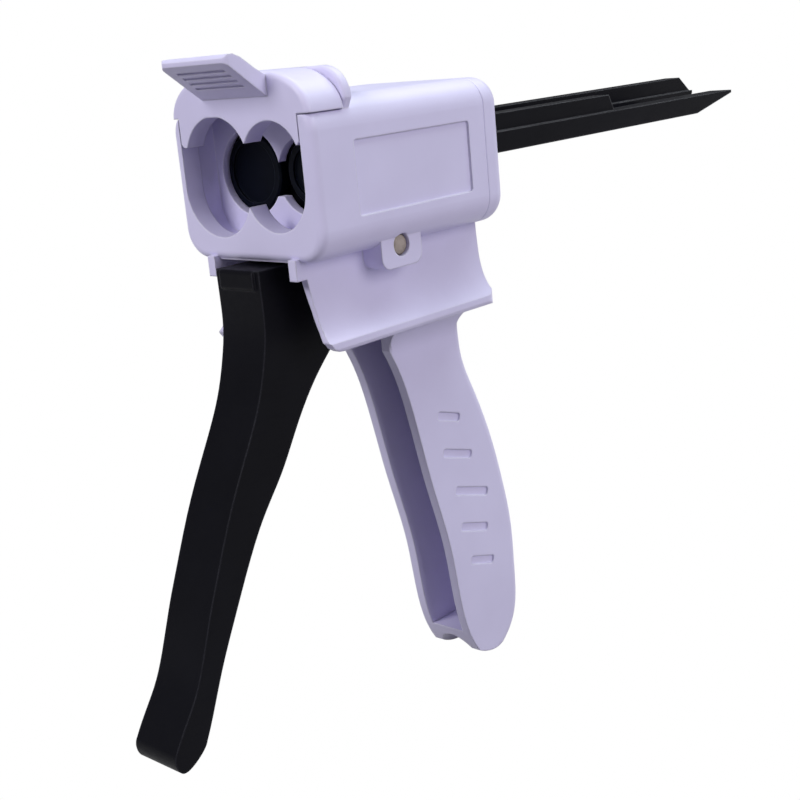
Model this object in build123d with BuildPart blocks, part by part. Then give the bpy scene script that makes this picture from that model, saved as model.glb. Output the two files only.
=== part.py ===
from build123d import *
import math
import os

os.makedirs("parts", exist_ok=True)

# General fits
running_gap = 0.3
pin_gap = 0.05
touch = 0.01

# Housing block
housing_half_width = 25.0
housing_top = 17.2
housing_bottom = -20.6
housing_length = 62.3
housing_low_radius = 7.5
housing_top_radius = 7.0
housing_front_radius = 2.2
housing_wall = 2.6
cavity_radius = 4.0
deck_height = 14.0
deck_length = 11.7

# Front plate, flange slot and second wall
front_plate_depth = 5.4
slot_rear = 11.3
second_wall_rear = 13.8
slot_half_width = 22.6
slot_floor = -15.8
slot_corner = 8.0
large_axis_x = -10.1
small_axis_x = 10.5
large_notch_radius = 11.9
small_notch_radius = 10.4
notch_low_centre = -3.0
cusp_height = -6.8
cusp_half_width = 1.2
cusp_centre = 1.0
large_hole_x = -9.7
small_hole_x = 9.7
large_hole_radius = 10.7
small_hole_radius = 9.6
large_hole_height = -0.35
small_hole_height = -1.3
web_gap_centre = 0.35
web_gap_half_width = 1.15
web_gap_low = -6.3
web_gap_high = 1.9

# Side panel recess
recess_front = 13.3
recess_rear = 55.7
recess_low = -11.1
recess_high = 6.8
recess_depth = 0.6
recess_corner = 0.8

# Collar that carries the lock lever
hinge_y = 16.6
hinge_z = 22.0
nose_radius = 4.9
collar_top = 24.2
collar_corner = 7.6
collar_foot = 23.7
collar_edge = 0.9
ridge_rear = 14.0
nose_half_width = 14.2
nose_rear = 21.0
nose_rear_edge = 3.6
arm_inner = 8.0
arm_outer = 11.5
lever_pin_radius = 1.2
lever_pin_half_length = 13.0

# Screw posts inside the housing
post_x = 18.2
post_high = 9.6
post_low = -13.4
post_radius = 3.0
post_front = 18.4
post_web_inset = 1.0

# Neck under the housing
neck_half_width = 16.0
ledge_half_width = 20.7
neck_inner_half_width = 13.4
neck_top = -17.5
neck_under_cap = -20.7
ledge_bottom = -43.4
ledge_front = 3.2
ledge_rear = 69.2
neck_side = [
    (1.0, neck_top), (1.0, -21.0), (2.2, -25.0), (3.4, -33.0), (3.6, -38.0), (ledge_front, -40.3),
    (4.4, -41.9), (6.2, -42.9), (8.9, ledge_bottom), (68.0, ledge_bottom), (ledge_rear, -42.3),
    (ledge_rear, -40.8), (67.2, -39.2), (66.6, -30.0), (66.4, neck_under_cap),
    (housing_length - 0.3, neck_under_cap), (housing_length - 0.3, neck_top),
]
flank = [(16.0, -24.0), (16.4, -31.0), (17.9, -37.0), (20.7, -40.6)]
flank_foot = [(20.7, -42.2), (20.2, -43.0), (19.3, ledge_bottom)]
inner_flank = [(13.4, -21.5), (14.0, -25.5), (14.9, -31.5), (16.2, -36.6), (18.4, -40.8)]
ledge_floor = -40.8
neck_room_rear = 62.6
neck_open_rear = 36.0
ledge_corner = 5.5
stop_tab_front = -1.0
stop_tab_rear = 3.0
stop_tab_low = -24.7

# Trigger pivot
pivot_y = 29.2
pivot_z = -20.6
trigger_pin_radius = 2.0
trigger_pin_half_length = 22.0
trigger_pin_head_radius = 2.7
trigger_pin_head_length = 0.9
trigger_pin_head_edge = 0.35
outer_boss_half_width = 22.6
outer_boss_front = 21.8
outer_boss_rear = 36.6
outer_boss_low = -26.1
outer_boss_high = -15.0
outer_boss_corner = 2.9
boss_recess_radius = 2.9
boss_recess_depth = 1.6
inner_boss_radius = 5.4
inner_boss_face = 8.0
floor_slot_front = 22.0
floor_slot_rear = 39.6
floor_slot_rise = 6.0
boss_room = 1.0

# Grip
grip_half_width = 8.65
grip_front = [
    (33.2, -42.0), (35.1, -49.0), (38.0, -54.8), (42.5, -67.7), (48.0, -91.2), (53.9, -114.4),
    (58.9, -141.3), (62.6, -148.2),
]
grip_rear = [
    (66.2, -42.0), (66.0, -53.9), (66.6, -58.7), (70.5, -68.8), (76.9, -85.2), (81.0, -100.9),
    (83.3, -114.6), (83.5, -128.4), (81.9, -142.6), (78.4, -148.2),
]
grip_low_point = (70.0, -150.4)
grip_rear_edge = 3.0
channel_half_width = 5.9
channel_front = 20.0
channel_top = -39.0
channel_rear = [
    (62.6, -39.0), (62.8, -53.9), (63.4, -59.6), (67.3, -70.0), (73.6, -86.4), (77.6, -101.8),
    (79.9, -115.0), (80.1, -128.0), (79.0, -138.6),
]
channel_floor_rear = (76.4, -141.0)
channel_floor_front = (50.0, -141.4)
arch_cut_radius = 5.7
arch_cut_height = -149.8
arch_cut_front = 50.0
arch_cut_rear = 77.0
flare_low = -52.0
flare_front = 31.0
flare_rear = 69.0
flare_flank = [(15.6, ledge_bottom), (10.4, -46.4), (grip_half_width, flare_low)]
flare_front_curve = [(flare_front, ledge_bottom), (35.0, -46.8), (36.8, flare_low)]
flare_rear_curve = [(63.0, flare_low), (64.4, -47.0), (flare_rear, ledge_bottom)]
grip_grooves = [
    (57.4, -74.5, 9.6), (59.9, -86.1, 12.6), (64.7, -98.8, 14.8), (64.7, -109.8, 12.2), (67.1, -120.9, 10.6),
]
groove_height = 2.5
groove_tilt = -17.0
groove_depth = 0.6
groove_corner = 0.9

# Rear cap
cap_front = housing_length
cap_rear = housing_length + 7.6
cap_edge_radius = 4.5
cap_lip_depth = 2.4
cap_lip_wall = 2.0
cap_lip_gap = 0.15
lip_notch_width = 13.0
lip_notch_height = 7.0
lip_notch_shift = 3.0
seam_chamfer = 0.25
rod_hole_gap = 0.3
release_slot_half_width = 5.4
release_slot_low = -14.8
release_slot_high = -5.1

# Screws
screw_shank_radius = 1.25
screw_head_radius = 2.6
screw_head_height = 1.9
screw_head_sink = 3.2
cap_screw_length = 14.0
screw_slot_width = 0.9
screw_slot_depth = 0.8
screw_slot_margin = 0.6
guide_screw_head_radius = 2.2
guide_screw_head_height = 1.2
guide_screw_length = 8.0

# Lock lever
arch_base = 13.9
shell_half_width = 24.6
shell_shoulder = 10.1
shell_rise = 10.3
shell_front_edge = 1.6
shell_rear = 11.4
shell_base = 14.3
shell_wall = 2.4
gate_left = -21.7
gate_right = 20.6
gate_large_x = -9.0
gate_large_radius = 11.5
gate_small_x = 10.4
gate_small_radius = 10.0
gate_centre_height = 3.0
gate_leg_tip = 7.2
gate_cusp_tip = 7.9
gate_leg_round = 0.8
gate_cusp_half_width = 4.0
tab_half_width = 11.7
tab_front = -11.6
tab_profile = [
    (0.9, 18.2), (-0.4, 18.7), (tab_front, 26.9), (tab_front, 27.9), (-10.6, 28.7), (-9.1, 28.8),
    (-6.9, 27.9), (-3.0, 25.2), (-0.4, 23.7), (2.4, 22.8),
]
tab_root = 2.4
roof_room_rear = 9.4
tab_corner = 1.4
tab_groove_count = 4
tab_groove_half_length = 8.5
tab_groove_width = 0.9
tab_groove_depth = 0.5
tab_groove_first = 0.22
tab_groove_step = 0.152
arm_hub_radius = 2.15
arm_reach = 7.5
arm_drop = 4.5

# Trigger
trigger_half_width = 7.7
trigger_cheek = 4.9
trigger_front = [
    (-5.6, -21.6), (-5.6, -25.0), (-5.5, -31.0), (-5.8, -37.2), (-7.1, -43.4), (-10.0, -52.3),
    (-14.9, -62.0), (-20.6, -72.0), (-24.7, -80.0), (-29.8, -91.4), (-33.2, -99.3), (-37.6, -110.8),
    (-41.0, -118.0), (-45.0, -123.8), (-48.4, -129.0),
]
trigger_toe = [(-48.4, -129.0), (-49.0, -132.0), (-47.4, -134.6), (-44.2, -134.2), (-39.2, -130.0)]
trigger_rear = [
    (-39.2, -130.0), (-37.1, -125.8), (-32.2, -114.9), (-25.9, -102.8), (-19.6, -91.4), (-12.8, -80.9),
    (-5.5, -71.9), (1.2, -61.8), (7.3, -53.6), (12.4, -48.2), (17.4, -43.4), (24.0, -34.0), (31.6, -25.4),
]
trigger_hub_radius = 5.0
pad_half_width = 6.0
pad_front = -6.3
pad_low = -26.6
pad_high = -21.6
pad_rear = 2.0
pad_edge = 0.9
pocket = [
    (17.0, -4.0), (17.0, -24.4), (-2.6, -24.4), (-2.5, -31.0), (-2.8, -37.8), (-4.1, -44.2), (-7.1, -53.6),
    (-12.0, -63.4), (-17.7, -73.4), (-21.8, -81.2), (-26.9, -92.6), (-30.3, -100.4), (-34.6, -111.8),
    (-37.6, -118.2), (-38.6, -121.0), (-20.0, -121.0), (60.0, -60.0), (60.0, -4.0),
]

# Drive pawl on the trigger arms
pawl_y = 34.1
pawl_z = -12.3
arm_end_radius = 3.4
arm_root_y = 4.4
arm_root_z = 2.4
arm_end_y = 2.9
arm_end_z = 1.8
pawl_pin_radius = 1.5
pawl_pin_half_length = 7.4
pawl_hub_radius = 3.0
pawl_hub_left = -4.6
pawl_hub_right = 1.2
pawl_bar_half_length = 14.3
pawl_bar = [(24.7, -8.0), (27.6, -8.4), (27.4, -6.6), (24.9, -6.6)]
pawl_tooth = [(24.9, -6.8), (27.4, -6.8), (27.2, -6.0), (26.1, -5.2), (25.2, -6.0)]
pawl_tooth_half_width = 2.4
pawl_arm = [(24.9, -8.0), (27.4, -8.0), (34.6, -9.6), (33.2, -15.0), (29.0, -12.6)]

# Racks
rod_half_width = 4.0
rib_half_width = 2.8
rod_bottom = -4.2
rod_shoulder = 1.5
rod_top = 6.4
rod_front = 16.2
left_rib_rear = 138.0
left_rib_slope = 2.6
left_tip = 211.0
left_tip_slope = 23.0
right_rib_rear = 214.0
right_tip = 220.5
right_tip_slope = 4.0
tip_blunt = 0.9
tooth_pitch = 4.0
tooth_depth = 1.3
tooth_land = 0.8
tooth_count = 41
tooth_first = 24.0
spigot_radius = 3.0
spigot_length = 2.4

# Bridge between the racks
bridge_front = 178.0
bridge_rear = 186.0
bridge_low = -3.9
bridge_high = 0.2
bridge_pin_radius = 1.0
bridge_pin_reach = 3.0

# Pistons
piston_front = 12.4
piston_rear = 16.2
large_piston_radius = 9.7
small_piston_radius = 8.2
piston_axis_height = -0.5
piston_edge = 0.5
piston_dish_depth = 0.8
piston_dish_margin = 2.0

# Guide plate
guide_front = 16.8
guide_rear = 18.4
guide_half_width = 21.6
guide_low = -12.2
guide_high = 13.6
guide_corner = 3.2

# Release lever
release_y = housing_length - 8.3
release_z = -11.0
release_hub_radius = 3.2
release_half_width = 5.0
release_front_arm = [(-10.4, -1.6), (0.0, -3.2), (0.0, 2.4), (-7.0, 2.6), (-10.4, 2.2)]
release_bar = [(-10.4, 1.6), (-7.2, 1.6), (-7.2, 4.4), (-10.4, 4.4)]
release_tooth = [(-10.4, 4.2), (-7.2, 4.2), (-7.2, 4.8), (-9.0, 6.3), (-10.4, 4.8)]
release_bar_half_length = 13.4
release_rear_arm = [(0.0, -3.1), (17.8, -2.2), (17.8, 1.2), (0.0, 2.8)]
release_pad = [(17.0, 1.0), (22.6, 1.6), (23.4, -1.0), (21.4, -6.4), (19.6, -6.8), (17.0, -3.0)]
release_pad_half_width = 5.8
release_pin_radius = 1.3
release_pin_half_length = 8.4
release_rib_inner = 5.4
release_rib_outer = 8.6
release_rib_front = release_y - 4.0
release_rib_rear = release_y + 4.0
release_rib_top = -7.4

# Springs
trigger_spring_wire = 0.6
trigger_spring_radius = 3.5
trigger_spring_turns = 4.5
trigger_spring_pitch = 1.6
trigger_spring_leg = 11.0
pawl_spring_wire = 0.35
pawl_spring_radius = 2.2
pawl_spring_turns = 2.5
pawl_spring_pitch = 0.95
pawl_spring_leg = 5.0
pawl_spring_gap = 0.6
release_spring_wire = 0.3
release_spring_radius = 1.8
release_spring_turns = 2.0
release_spring_y = release_y - 5.6
release_spring_low = -17.6
release_spring_high = -15.2
coil_steps = 8

# Values that follow from those above
housing_middle = (housing_top + housing_bottom) / 2
housing_height = housing_top - housing_bottom
cavity_low = housing_bottom + housing_wall
cavity_high = housing_top - housing_wall
rod_middle = (rod_bottom + rod_top) / 2
rod_height = rod_top - rod_bottom
rod_hole_width = 2 * (rod_half_width + rod_hole_gap)
rod_hole_height = rod_height + 2 * rod_hole_gap
far_cut = 40.0
release_plane = Plane(origin=(0, release_y, release_z), x_dir=(0, 1, 0), z_dir=(1, 0, 0))

# Neck with its flared ledge
with BuildPart() as neck:
    with BuildSketch(Plane.YZ):
        with BuildLine():
            Polyline(*neck_side, close=True)
        make_face()
    extrude(amount=ledge_half_width, both=True)
    with BuildSketch(Plane.XZ):
        with BuildLine():
            Line((neck_half_width, neck_top), flank[0])
            Spline(*flank)
            Polyline(flank[-1], *flank_foot, (0, ledge_bottom))
            Line((0, ledge_bottom), (0, neck_top))
            Line((0, neck_top), (neck_half_width, neck_top))
        make_face()
        mirror(about=Plane.YZ)
    extrude(amount=-2 * far_cut, mode=Mode.INTERSECT)
    with BuildSketch(Plane.XY.offset(ledge_bottom)) as ledge_plan:
        with Locations((0, (ledge_front + ledge_rear) / 2)):
            Rectangle(2 * ledge_half_width, ledge_rear - ledge_front)
        fillet(ledge_plan.vertices().group_by(Axis.Y)[-1], ledge_corner)
        with Locations((0, ledge_front)):
            Rectangle(2 * ledge_half_width, 2 * ledge_front)
    extrude(amount=-ledge_bottom, mode=Mode.INTERSECT)

# Grip blank with a rounded back
with BuildPart() as grip:
    with BuildSketch(Plane.YZ):
        with BuildLine():
            Spline(*grip_front)
            Spline(grip_front[-1], grip_low_point, grip_rear[-1])
            Spline(*grip_rear)
            Line(grip_rear[0], grip_front[0])
        make_face()
    extrude(amount=grip_half_width, both=True)
    grip_back = grip.faces().sort_by(Axis.Y)[-1]
    fillet(grip_back.edges().filter_by(Axis.X, reverse=True), grip_rear_edge)

# Flare between the grip and the ledge
with BuildPart() as flare:
    with BuildSketch(Plane.XZ.offset(-flare_front)):
        with BuildLine():
            Line((0, ledge_bottom), flare_flank[0])
            Spline(*flare_flank)
            Line(flare_flank[-1], (0, flare_low))
            Line((0, flare_low), (0, ledge_bottom))
        make_face()
        mirror(about=Plane.YZ)
    extrude(amount=flare_front - flare_rear)
    with BuildSketch(Plane.YZ):
        with BuildLine():
            Spline(*flare_front_curve)
            Line(flare_front_curve[-1], flare_rear_curve[0])
            Spline(*flare_rear_curve)
            Line(flare_rear_curve[-1], flare_front_curve[0])
        make_face()
    extrude(amount=flare_flank[0][0], both=True, mode=Mode.INTERSECT)

# Collar: a cross ridge with a hinge block behind it
with BuildPart() as collar:
    with BuildSketch(Plane.XZ.offset(-deck_length)):
        with BuildLine():
            Polyline(
                (0, deck_height), (collar_foot, deck_height), (housing_half_width, collar_top - collar_corner)
            )
            TangentArc(
                (housing_half_width, collar_top - collar_corner),
                (housing_half_width - collar_corner, collar_top),
                tangent=(0, 1),
            )
            Polyline((housing_half_width - collar_corner, collar_top), (0, collar_top), (0, deck_height))
        make_face()
        mirror(about=Plane.YZ)
    extrude(amount=deck_length - ridge_rear)
    ridge_front = collar.faces().sort_by(Axis.Y)[0]
    fillet(ridge_front.edges().sort_by(Axis.Z)[1:], collar_edge)
    with BuildSketch(Plane.YZ) as nose_outline:
        with Locations(((hinge_y + nose_rear) / 2, (collar_top + deck_height) / 2)):
            Rectangle(nose_rear - hinge_y, collar_top - deck_height)
        fillet(nose_outline.vertices().sort_by(Axis.X)[-2:].sort_by(Axis.Y)[-1], nose_rear_edge)
        with Locations(((ridge_rear + hinge_y) / 2, (collar_top + deck_height) / 2)):
            Rectangle(hinge_y - ridge_rear + 2 * touch, collar_top - deck_height)
    extrude(amount=nose_half_width, both=True)

# Body: housing, neck and grip in one moulding
with BuildPart() as body:
    # Housing block
    with BuildSketch(Plane.XZ) as housing_outline:
        with Locations((0, housing_middle)):
            Rectangle(2 * housing_half_width, housing_height)
        fillet(housing_outline.vertices().group_by(Axis.Y)[0], housing_low_radius)
        fillet(housing_outline.vertices().group_by(Axis.Y)[-1], housing_top_radius)
    extrude(amount=-housing_length)
    fillet(body.edges().filter_by_position(Axis.Y, -touch, touch), housing_front_radius)
    chamfer(
        body.edges().filter_by_position(Axis.Y, housing_length - touch, housing_length + touch),
        seam_chamfer,
    )
    # Collar that stands over the housing and holds the lever hinge
    add(collar.part)
    # Neck, grip and flare
    add(neck.part)
    add(grip.part)
    add(flare.part)
    # Deck for the lever
    with BuildSketch(Plane.XY.offset(deck_height)):
        with Locations((0, deck_length / 2)):
            Rectangle(4 * housing_half_width, deck_length)
    extrude(amount=far_cut, mode=Mode.SUBTRACT)
    # Barrel notches through the front plate
    with BuildSketch(Plane.XZ):
        with Locations((large_axis_x, notch_low_centre)):
            Circle(large_notch_radius)
        with Locations((small_axis_x, notch_low_centre)):
            Circle(small_notch_radius)
        with BuildLine():
            Polyline(
                (large_axis_x - large_notch_radius, notch_low_centre),
                (small_axis_x + small_notch_radius, notch_low_centre),
                (small_axis_x + small_notch_radius, far_cut),
                (large_axis_x - large_notch_radius, far_cut),
                close=True,
            )
        make_face()
        with Locations((cusp_centre, (cusp_height + notch_low_centre) / 2)):
            Rectangle(2 * cusp_half_width, notch_low_centre - cusp_height)
    extrude(amount=-slot_rear, mode=Mode.SUBTRACT)
    # Flange slot between the plates
    with BuildSketch(Plane.XZ.offset(-front_plate_depth)) as slot_outline:
        with Locations((0, (slot_floor + far_cut) / 2)):
            Rectangle(2 * slot_half_width, far_cut - slot_floor)
        fillet(slot_outline.vertices().group_by(Axis.Y)[0], slot_corner)
    extrude(amount=front_plate_depth - slot_rear, mode=Mode.SUBTRACT)
    # Rod room behind the second wall
    with BuildSketch(Plane.XZ.offset(-second_wall_rear)):
        with Locations((0, (cavity_low + cavity_high) / 2)):
            RectangleRounded(
                2 * (housing_half_width - housing_wall), cavity_high - cavity_low, cavity_radius
            )
    extrude(amount=second_wall_rear - housing_length, mode=Mode.SUBTRACT)
    # Piston holes in the second wall
    with BuildSketch(Plane.XZ.offset(-slot_rear)):
        with Locations((large_hole_x, large_hole_height)):
            Circle(large_hole_radius)
        with Locations((small_hole_x, small_hole_height)):
            Circle(small_hole_radius)
        with Locations((web_gap_centre, (web_gap_low + web_gap_high) / 2)):
            Rectangle(2 * web_gap_half_width, web_gap_high - web_gap_low)
    extrude(amount=slot_rear - second_wall_rear, mode=Mode.SUBTRACT)
    # Screw posts
    with BuildSketch(Plane.XZ.offset(-post_front)):
        for height in (post_low, post_high):
            with Locations((-post_x, height), (post_x, height)):
                Circle(post_radius)
        for side in (-1, 1):
            with Locations((side * (post_x + housing_half_width) / 2, post_high)):
                Rectangle(housing_half_width - post_x - post_web_inset, post_radius)
            with Locations((side * (post_x + housing_half_width) / 2, post_low)):
                Rectangle(housing_half_width - post_x - post_web_inset, post_radius)
    extrude(amount=post_front - housing_length)
    # Room inside the neck
    with BuildSketch(Plane.XZ.offset(-neck_room_rear)):
        with BuildLine():
            Line((0, housing_bottom), (neck_inner_half_width, housing_bottom))
            Line((neck_inner_half_width, housing_bottom), inner_flank[0])
            Spline(*inner_flank)
            Line(inner_flank[-1], (0, ledge_floor))
            Line((0, ledge_floor), (0, housing_bottom))
        make_face()
        mirror(about=Plane.YZ)
    extrude(amount=neck_room_rear + far_cut, mode=Mode.SUBTRACT)
    with BuildSketch(Plane.XY.offset(ledge_floor)):
        with Locations((0, (neck_open_rear - far_cut) / 2)):
            Rectangle(2 * inner_flank[-1][0], neck_open_rear + far_cut)
    extrude(amount=-far_cut, mode=Mode.SUBTRACT)
    # Grip channel, open to the front
    with BuildSketch(Plane.YZ):
        with BuildLine():
            Spline(*channel_rear)
            Spline(channel_rear[-1], channel_floor_rear, tangents=((0, -1), (-1, 0)))
            Line(channel_floor_rear, channel_floor_front)
            Polyline(
                channel_floor_front, (channel_front, channel_floor_front[1]), (channel_front, channel_top)
            )
            Line((channel_front, channel_top), channel_rear[0])
        make_face()
    extrude(amount=channel_half_width, both=True, mode=Mode.SUBTRACT)
    with BuildSketch(Plane.XZ.offset(-arch_cut_front)):
        with Locations((0, arch_cut_height)):
            Circle(arch_cut_radius)
    extrude(amount=arch_cut_front - arch_cut_rear, mode=Mode.SUBTRACT)
    # Bosses for the trigger pin
    with BuildSketch(Plane.YZ) as boss_outline:
        with Locations(((outer_boss_front + outer_boss_rear) / 2, (outer_boss_low + outer_boss_high) / 2)):
            Rectangle(outer_boss_rear - outer_boss_front, outer_boss_high - outer_boss_low)
        fillet(boss_outline.vertices().group_by(Axis.Y)[0], outer_boss_corner)
    extrude(amount=outer_boss_half_width, both=True)
    with BuildSketch(Plane.YZ):
        with Locations((pivot_y, pivot_z)):
            Circle(inner_boss_radius)
    extrude(amount=neck_half_width, both=True)
    with BuildSketch(Plane.YZ):
        with Locations((pivot_y, (pivot_z + outer_boss_low) / 2)):
            Rectangle(
                outer_boss_rear - outer_boss_front + 2 * boss_room,
                pivot_z - outer_boss_low + 2 * (inner_boss_radius + boss_room),
            )
    extrude(amount=inner_boss_face, both=True, mode=Mode.SUBTRACT)
    # Floor slot for the trigger arms
    with BuildSketch(Plane.XY.offset(housing_bottom - 1)):
        with Locations((0, (floor_slot_front + floor_slot_rear) / 2)):
            Rectangle(2 * inner_boss_face, floor_slot_rear - floor_slot_front)
    extrude(amount=housing_wall + floor_slot_rise, mode=Mode.SUBTRACT)
    # Stop tabs at the front of the neck
    for side in (-1, 1):
        with BuildSketch(Plane.XY.offset(housing_bottom + 1)):
            with Locations((
                side * (neck_inner_half_width + neck_half_width) / 2,
                (stop_tab_front + stop_tab_rear) / 2,
            )):
                Rectangle(neck_half_width - neck_inner_half_width, stop_tab_rear - stop_tab_front)
        extrude(amount=stop_tab_low - housing_bottom - 1)
    # Ribs for the release lever
    for side in (-1, 1):
        with BuildSketch(Plane.XY.offset(cavity_low - touch)):
            with Locations((
                side * (release_rib_inner + release_rib_outer) / 2,
                (release_rib_front + release_rib_rear) / 2,
            )):
                Rectangle(release_rib_outer - release_rib_inner, release_rib_rear - release_rib_front)
        extrude(amount=release_rib_top - cavity_low)
    # Pin holes and screw holes
    with BuildSketch(Plane.YZ):
        with Locations((pivot_y, pivot_z)):
            Circle(trigger_pin_radius + pin_gap)
        with Locations((release_y, release_z)):
            Circle(release_pin_radius + pin_gap)
    extrude(amount=release_pin_half_length + pin_gap, both=True, mode=Mode.SUBTRACT)
    with BuildSketch(Plane.YZ):
        with Locations((pivot_y, pivot_z)):
            Circle(trigger_pin_radius + pin_gap)
    extrude(amount=outer_boss_half_width + 1, both=True, mode=Mode.SUBTRACT)
    for side in (-1, 1):
        with BuildSketch(Plane.YZ.offset(side * (outer_boss_half_width - boss_recess_depth))):
            with Locations((pivot_y, pivot_z)):
                Circle(boss_recess_radius)
        extrude(amount=side * (boss_recess_depth + 1), mode=Mode.SUBTRACT)
    with BuildSketch(Plane.YZ):
        with Locations((hinge_y, hinge_z)):
            Circle(lever_pin_radius + pin_gap)
    extrude(amount=lever_pin_half_length + pin_gap, both=True, mode=Mode.SUBTRACT)
    with BuildSketch(Plane.XZ.offset(-housing_length)):
        for height in (post_low, post_high):
            with Locations((-post_x, height), (post_x, height)):
                Circle(screw_shank_radius + pin_gap)
    extrude(amount=cap_screw_length, mode=Mode.SUBTRACT)
    with BuildSketch(Plane.XZ.offset(-post_front)):
        with Locations((-post_x, post_high), (post_x, post_high)):
            Circle(screw_shank_radius + pin_gap)
    extrude(amount=-guide_screw_length, mode=Mode.SUBTRACT)
    # Slots for the lever arms
    for side in (-1, 1):
        with BuildSketch(Plane.YZ.offset(side * (arm_inner + arm_outer) / 2)):
            with Locations((hinge_y, hinge_z)):
                Circle(nose_radius)
            with Locations((hinge_y - nose_radius, hinge_z)):
                Rectangle(2 * nose_radius, 2 * nose_radius)
            with Locations((hinge_y, hinge_z + nose_radius)):
                Rectangle(2 * nose_radius + 1, 2 * nose_radius)
        extrude(amount=(arm_outer - arm_inner) / 2 + running_gap, both=True, mode=Mode.SUBTRACT)
    # Side recesses
    for side in (-1, 1):
        with BuildSketch(Plane.YZ.offset(side * (housing_half_width - recess_depth))):
            with Locations(((recess_front + recess_rear) / 2, (recess_low + recess_high) / 2)):
                RectangleRounded(recess_rear - recess_front, recess_high - recess_low, recess_corner)
        extrude(amount=side * 2 * recess_depth, mode=Mode.SUBTRACT)
    # Grip grooves
    for side in (-1, 1):
        for groove_y, groove_z, groove_length in grip_grooves:
            with BuildSketch(Plane.YZ.offset(side * (grip_half_width - groove_depth))):
                with Locations(Location((groove_y, groove_z), groove_tilt)):
                    RectangleRounded(groove_length, groove_height, groove_corner)
            extrude(amount=side * 2 * groove_depth, mode=Mode.SUBTRACT)
body.part.label = "body"
export_step(body.part, "parts/body.step")

# Rear cap
with BuildPart() as rear_cap:
    with BuildSketch(Plane.XZ.offset(-cap_front)) as cap_outline:
        with Locations((0, housing_middle)):
            Rectangle(2 * housing_half_width, housing_height)
        fillet(cap_outline.vertices().group_by(Axis.Y)[0], housing_low_radius)
        fillet(cap_outline.vertices().group_by(Axis.Y)[-1], housing_top_radius)
    extrude(amount=cap_front - cap_rear)
    fillet(rear_cap.edges().filter_by_position(Axis.Y, cap_rear - touch, cap_rear + touch), cap_edge_radius)
    chamfer(
        rear_cap.edges().filter_by_position(Axis.Y, cap_front - touch, cap_front + touch), seam_chamfer
    )
    with BuildSketch(Plane.XZ.offset(-cap_front)):
        with Locations((0, (cavity_low + cavity_high) / 2)):
            RectangleRounded(
                2 * (housing_half_width - housing_wall - cap_lip_gap),
                cavity_high - cavity_low - 2 * cap_lip_gap,
                cavity_radius,
            )
            RectangleRounded(
                2 * (housing_half_width - housing_wall - cap_lip_wall),
                cavity_high - cavity_low - 2 * cap_lip_wall,
                cavity_radius - cap_lip_gap,
                mode=Mode.SUBTRACT,
            )
        for side in (-1, 1):
            for height in (post_low, post_high):
                with Locations((side * (post_x + lip_notch_shift), height)):
                    Rectangle(lip_notch_width, lip_notch_height, mode=Mode.SUBTRACT)
    extrude(amount=cap_lip_depth)
    with BuildSketch(Plane.XZ.offset(-cap_front)):
        with Locations((large_axis_x, rod_middle), (small_axis_x, rod_middle)):
            Rectangle(rod_hole_width, rod_hole_height)
        with Locations((0, (release_slot_low + release_slot_high) / 2)):
            Rectangle(2 * release_slot_half_width, release_slot_high - release_slot_low)
        for height in (post_low, post_high):
            with Locations((-post_x, height), (post_x, height)):
                Circle(screw_shank_radius + pin_gap)
    extrude(amount=cap_front - cap_rear, mode=Mode.SUBTRACT)
    with BuildSketch(Plane.XZ.offset(-cap_rear)):
        for height in (post_low, post_high):
            with Locations((-post_x, height), (post_x, height)):
                Circle(screw_head_radius + pin_gap)
    extrude(amount=screw_head_sink, mode=Mode.SUBTRACT)
rear_cap.part.label = "rear_cap"
export_step(rear_cap.part, "parts/rear_cap.step")

# Rear cap screws
with BuildPart() as rear_cap_screws:
    with BuildSketch(Plane.XZ.offset(-(cap_rear - screw_head_sink))):
        for height in (post_low, post_high):
            with Locations((-post_x, height), (post_x, height)):
                Circle(screw_head_radius)
    extrude(amount=-screw_head_height)
    with BuildSketch(Plane.XZ.offset(-(cap_rear - screw_head_sink))):
        for height in (post_low, post_high):
            with Locations((-post_x, height), (post_x, height)):
                Circle(screw_shank_radius)
    extrude(amount=cap_screw_length)
    with BuildSketch(Plane.XZ.offset(-(cap_rear - screw_head_sink + screw_head_height))):
        for height in (post_low, post_high):
            with Locations((-post_x, height), (post_x, height)):
                Rectangle(2 * (screw_head_radius - screw_slot_margin), screw_slot_width)
                Rectangle(screw_slot_width, 2 * (screw_head_radius - screw_slot_margin))
    extrude(amount=screw_slot_depth, mode=Mode.SUBTRACT)
rear_cap_screws.part.label = "rear_cap_screws"
export_step(rear_cap_screws.part, "parts/rear_cap_screws.step")

# Thumb tab of the lock lever
with BuildPart() as tab:
    with BuildSketch(Plane.YZ):
        with BuildLine():
            Polyline(*tab_profile, close=True)
        make_face()
    extrude(amount=tab_half_width, both=True)
    with BuildSketch(Plane.XY) as tab_plan:
        with Locations((0, (tab_front + tab_root) / 2)):
            Rectangle(2 * tab_half_width, tab_root - tab_front)
        fillet(tab_plan.vertices().group_by(Axis.Y)[0], tab_corner)
    extrude(amount=far_cut, mode=Mode.INTERSECT)

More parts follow.
